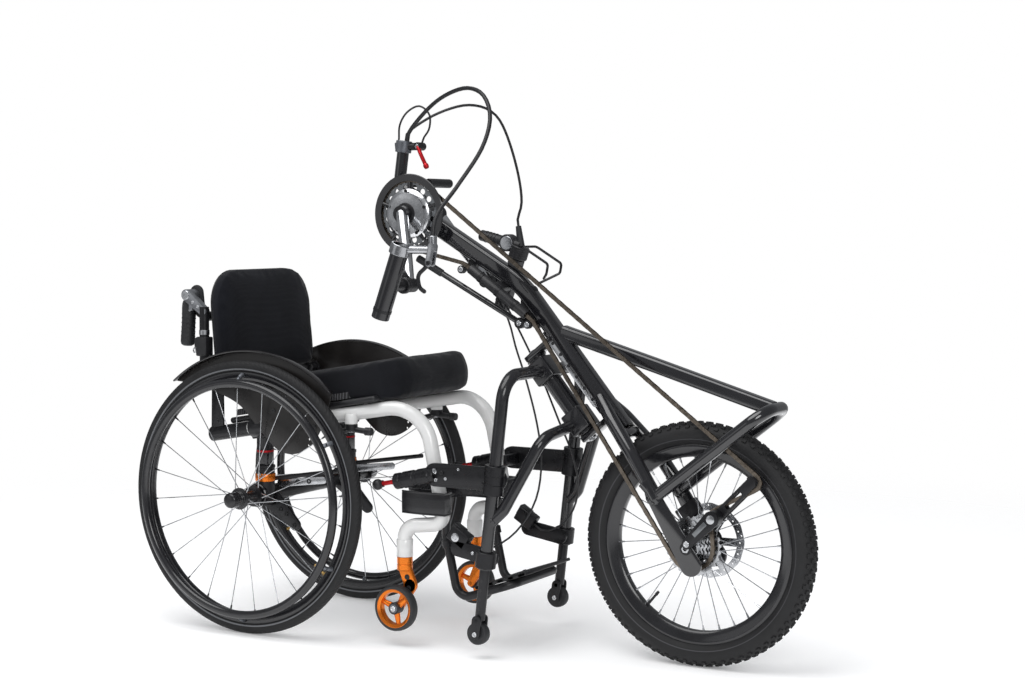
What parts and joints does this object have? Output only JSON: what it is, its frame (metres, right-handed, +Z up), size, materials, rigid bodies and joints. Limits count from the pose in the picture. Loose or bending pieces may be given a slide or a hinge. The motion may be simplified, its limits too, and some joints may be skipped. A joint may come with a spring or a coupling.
{
  "type": "handcycle",
  "caption": "Handcycle: a rigid wheelchair with a docked front unit whose wheel is driven by hand cranks through a long chain, with steering, brake, gears and stand legs.",
  "frame": {"origin": "On the floor, below the middle of the overall box.", "axes": "X runs forward from the seat to the front wheel, Y to the rider's left, Z up."},
  "size_m": [1.5539, 0.575, 1.2068],
  "materials": {
    "black_metal": "gloss black paint",
    "white_metal": "gloss white paint",
    "orange_metal": "orange anodised",
    "silver_metal": "bare metal",
    "tyre": "matt tread rubber",
    "rubber": "matt rubber",
    "fabric": "black woven cover",
    "plastic": "satin black",
    "red_metal": "gloss red"
  },
  "bodies": {
    "chair": {"chair_frame": "white_metal", "axle_carrier": "black_metal", "seat_pan": "plastic", "seat_cushion": "fabric", "side_guard_right": "plastic", "side_guard_left": "plastic", "footrest_tube": "black_metal", "footplate": "black_metal", "calf_strap": "fabric", "dock_frame": "black_metal", "upper_clamp_right": "black_metal", "upper_clamp_left": "black_metal", "lower_clamp_right": "black_metal", "lower_clamp_left": "black_metal", "release_cable_right": "rubber", "release_cable_left": "rubber"},
    "backrest": {"backrest_frame": "black_metal", "backrest_cushion": "fabric"},
    "handle_right": {"push_handle_right": "rubber"},
    "rear_right": {"rear_wheel_right": "black_metal", "rear_tyre_right": "tyre", "handrim_right": "black_metal"},
    "swivel_right": {"caster_fork_right": "orange_metal"},
    "caster_right": {"caster_wheel_right": "orange_metal"},
    "leg_right": {"stand_leg_right": "black_metal"},
    "roller_right": {"stand_roller_right": "rubber"},
    "screw_right": {"clamp_screw_right": "red_metal"},
    "lock_right": {"wheel_lock_right": "black_metal"},
    "handle_left": {"push_handle_left": "rubber"},
    "rear_left": {"rear_wheel_left": "black_metal", "rear_tyre_left": "tyre", "handrim_left": "black_metal"},
    "swivel_left": {"caster_fork_left": "orange_metal"},
    "caster_left": {"caster_wheel_left": "orange_metal"},
    "leg_left": {"stand_leg_left": "black_metal"},
    "roller_left": {"stand_roller_left": "rubber"},
    "screw_left": {"clamp_screw_left": "red_metal"},
    "lock_left": {"wheel_lock_left": "black_metal"},
    "front": {"main_boom": "black_metal", "fork": "black_metal", "bow": "black_metal", "brake_caliper": "black_metal", "derailleur": "black_metal", "derailleur_cage": "black_metal", "cable_mast": "black_metal", "chain": "silver_metal", "brake_cable": "rubber", "shift_cable": "rubber", "parking_cable": "rubber", "bottle_cage": "black_metal"},
    "front_wheel_body": {"front_wheel": "black_metal", "front_tyre": "tyre"},
    "sprockets": {"cassette": "silver_metal"},
    "cranks": {"chainset": "black_metal", "crank_left": "black_metal"},
    "hand_right": {"grip_right": "black_metal"},
    "hand_left": {"grip_left": "black_metal"},
    "brake": {"brake_lever": "black_metal"},
    "parking": {"parking_lever": "red_metal"},
    "lever": {"lever_bar": "black_metal"}
  },
  "joints": [
    {"name": "steering", "type": "hinge", "parent": "chair", "child": "front", "pos_m": [0.1585, 0, 0.6], "axis": [-0.6391, 0, 0.7691], "range_deg": [-28, 28]},
    {"name": "backrest_fold", "type": "hinge", "parent": "chair", "child": "backrest", "pos_m": [-0.5775, 0, 0.562], "axis": [0, 1, 0], "range_deg": [0, 60]},
    {"name": "handle_right_fold", "type": "hinge", "parent": "backrest", "child": "handle_right", "pos_m": [-0.6785, -0.168, 0.748], "axis": [0, 1, 0], "range_deg": [0, 95]},
    {"name": "rear_wheel_right_spin", "type": "hinge", "parent": "chair", "child": "rear_right", "pos_m": [-0.4735, -0.2225, 0.305], "axis": [0, 1, 0], "continuous": true},
    {"name": "caster_right_swivel", "type": "hinge", "parent": "chair", "child": "swivel_right", "pos_m": [-0.1035, -0.15, 0.19], "axis": [0, 0, 1], "continuous": true},
    {"name": "caster_right_spin", "type": "hinge", "parent": "swivel_right", "child": "caster_right", "pos_m": [-0.1135, -0.169, 0.085], "axis": [0, 1, 0], "continuous": true},
    {"name": "stand_leg_right_slide", "type": "slide", "parent": "chair", "child": "leg_right", "axis": [0.1096, 0, 0.994], "range_m": [-0.03, 0.085]},
    {"name": "stand_roller_right_spin", "type": "hinge", "parent": "leg_right", "child": "roller_right", "pos_m": [0.09737, -0.178, 0.05483], "axis": [0, 1, 0], "continuous": true},
    {"name": "clamp_screw_right_turn", "type": "hinge", "parent": "chair", "child": "screw_right", "pos_m": [-0.1115, -0.169, 0.363], "axis": [-0.9766, 0, -0.2149], "continuous": true},
    {"name": "wheel_lock_right_turn", "type": "hinge", "parent": "chair", "child": "lock_right", "pos_m": [-0.2235, -0.178, 0.48], "axis": [0, 0, 1], "range_deg": [-40, 2]},
    {"name": "handle_left_fold", "type": "hinge", "parent": "backrest", "child": "handle_left", "pos_m": [-0.6785, 0.168, 0.748], "axis": [0, 1, 0], "range_deg": [0, 95]},
    {"name": "rear_wheel_left_spin", "type": "hinge", "parent": "chair", "child": "rear_left", "pos_m": [-0.4735, 0.2225, 0.305], "axis": [0, 1, 0], "continuous": true},
    {"name": "caster_left_swivel", "type": "hinge", "parent": "chair", "child": "swivel_left", "pos_m": [-0.1035, 0.15, 0.19], "axis": [0, 0, 1], "continuous": true},
    {"name": "caster_left_spin", "type": "hinge", "parent": "swivel_left", "child": "caster_left", "pos_m": [-0.1135, 0.169, 0.085], "axis": [0, 1, 0], "continuous": true},
    {"name": "stand_leg_left_slide", "type": "slide", "parent": "chair", "child": "leg_left", "axis": [0.1096, 0, 0.994], "range_m": [-0.03, 0.074]},
    {"name": "stand_roller_left_spin", "type": "hinge", "parent": "leg_left", "child": "roller_left", "pos_m": [0.09913, 0.178, 0.07074], "axis": [0, 1, 0], "continuous": true},
    {"name": "clamp_screw_left_turn", "type": "hinge", "parent": "chair", "child": "screw_left", "pos_m": [-0.1115, 0.169, 0.363], "axis": [-0.9766, 0, -0.2149], "continuous": true},
    {"name": "wheel_lock_left_turn", "type": "hinge", "parent": "chair", "child": "lock_left", "pos_m": [-0.2235, 0.178, 0.48], "axis": [0, 0, 1], "range_deg": [-2, 40]},
    {"name": "front_wheel_spin", "type": "hinge", "parent": "front", "child": "front_wheel_body", "pos_m": [0.5225, 0, 0.256], "axis": [0, 1, 0], "continuous": true},
    {"name": "crank_turn", "type": "hinge", "parent": "front", "child": "cranks", "pos_m": [-0.1585, 0, 0.935], "axis": [0, 1, 0], "continuous": true, "deforming": ["brake_cable", "shift_cable"]},
    {"name": "cassette_turn", "type": "hinge", "parent": "front", "child": "sprockets", "pos_m": [0.5225, 0, 0.256], "axis": [0, 1, 0], "continuous": true},
    {"name": "grip_right_turn", "type": "hinge", "parent": "cranks", "child": "hand_right", "pos_m": [-0.0815, -0.18, 0.783], "axis": [0, 1, 0], "continuous": true},
    {"name": "grip_left_turn", "type": "hinge", "parent": "cranks", "child": "hand_left", "pos_m": [-0.0815, 0.18, 0.783], "axis": [0, 1, 0], "continuous": true},
    {"name": "brake_lever_pull", "type": "hinge", "parent": "hand_right", "child": "brake", "pos_m": [0.0265, -0.259, 0.834], "axis": [0, 1, 0], "range_deg": [0, 22], "stiffness_Nm_per_rad": 0.4},
    {"name": "parking_lever_pull", "type": "hinge", "parent": "front", "child": "parking", "pos_m": [-0.1575, -0.011, 1.084], "axis": [0, 1, 0], "range_deg": [0, 40]},
    {"name": "lever_bar_swing", "type": "hinge", "parent": "front", "child": "lever", "pos_m": [0.1105, -0.026, 0.702], "axis": [0, -1, 0], "range_deg": [0, 18]}
  ],
  "couplings": [
    {"joint": "grip_right_turn", "follows": "crank_turn", "ratio": -1},
    {"joint": "grip_left_turn", "follows": "crank_turn", "ratio": -1},
    {"joint": "cassette_turn", "follows": "crank_turn", "ratio": 1.54}
  ]
}
